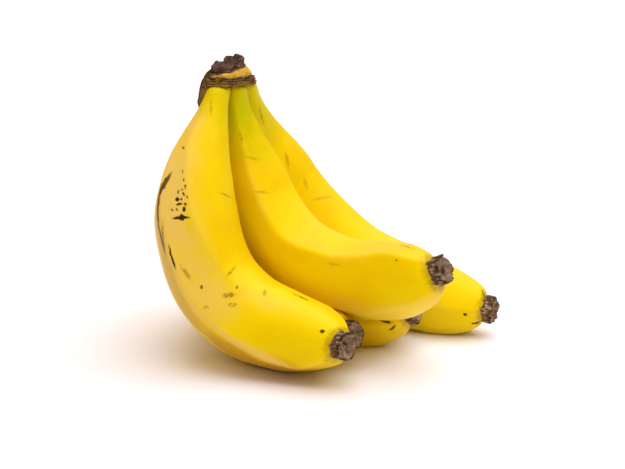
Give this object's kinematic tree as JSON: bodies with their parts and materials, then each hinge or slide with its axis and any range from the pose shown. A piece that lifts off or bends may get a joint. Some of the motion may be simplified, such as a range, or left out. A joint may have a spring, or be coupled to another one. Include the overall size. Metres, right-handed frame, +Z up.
{
  "type": "bunch of bananas",
  "caption": "Bunch of ripe bananas joined at one cut crown, lying on its lower fruit with the crown up, for still lifes, food scenes and grasping.",
  "frame": {"origin": "middle of the footprint, on the surface that the bunch rests on", "axes": "+Z up; +X to the right as the picture shows it, along the blunt ends of the fruit; -Y toward the picture's camera"},
  "size_m": [0.1669, 0.1299, 0.1396],
  "materials": {
    "peel": "satin yellow fruit peel with dry brown blossom ends",
    "crown": "dry brown fibrous cut stalk"
  },
  "bodies": {
    "root": {"crown": "crown", "banana_front": "peel", "banana_middle": "peel", "banana_back": "peel", "banana_under_front": "peel", "banana_under_back": "peel"}
  },
  "joints": []
}
